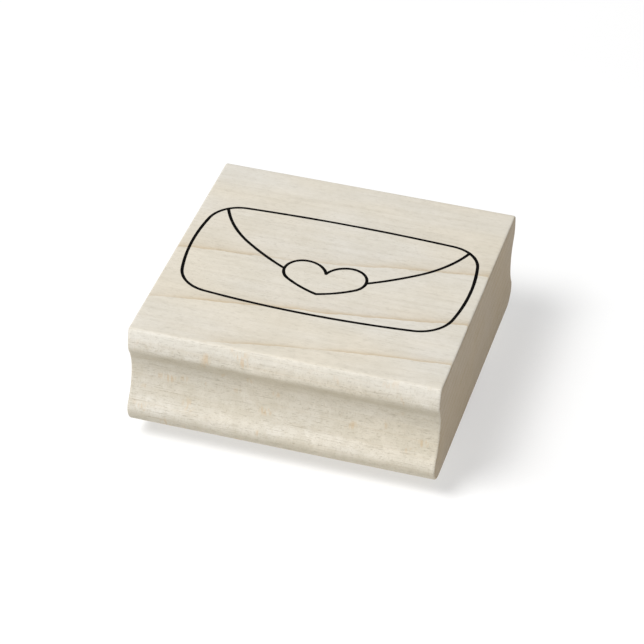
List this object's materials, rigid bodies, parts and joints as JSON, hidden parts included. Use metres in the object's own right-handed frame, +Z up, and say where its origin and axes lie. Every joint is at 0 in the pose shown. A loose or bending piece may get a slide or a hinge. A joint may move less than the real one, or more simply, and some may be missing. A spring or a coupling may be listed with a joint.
{
  "type": "rubber stamp",
  "caption": "Wood-mounted rubber stamp: a moulded maple block with finger coves front and back, a foam cushion and a rubber die that prints a heart-sealed envelope.",
  "frame": {"origin": "centre of the stamp's plan, on the plane of the printing lines that rest on the paper", "axes": "+X along the wood grain, from the left to the right of the drawing; +Y from the front finger cove to the back one, which is up in the drawing; +Z up, out of the index print"},
  "size_m": [0.0636, 0.066, 0.0264],
  "materials": {
    "maple": "bare planed and sanded hard maple, flat-sawn on top, fine straight grain along X",
    "index_ink": "black index ink soaked into bare wood, matte",
    "adhesive": "thin translucent double-sided adhesive film",
    "cushion_foam": "grey closed-cell foam sheet with cut edges",
    "die_rubber": "vulcanised brick-red rubber, satin, fine moulding texture between the lines"
  },
  "bodies": {
    "root": {"wood_block": "maple", "index_print": "index_ink", "block_adhesive_film": "adhesive", "foam_cushion": "cushion_foam", "die_adhesive_film": "adhesive", "rubber_die": "die_rubber"}
  },
  "joints": []
}
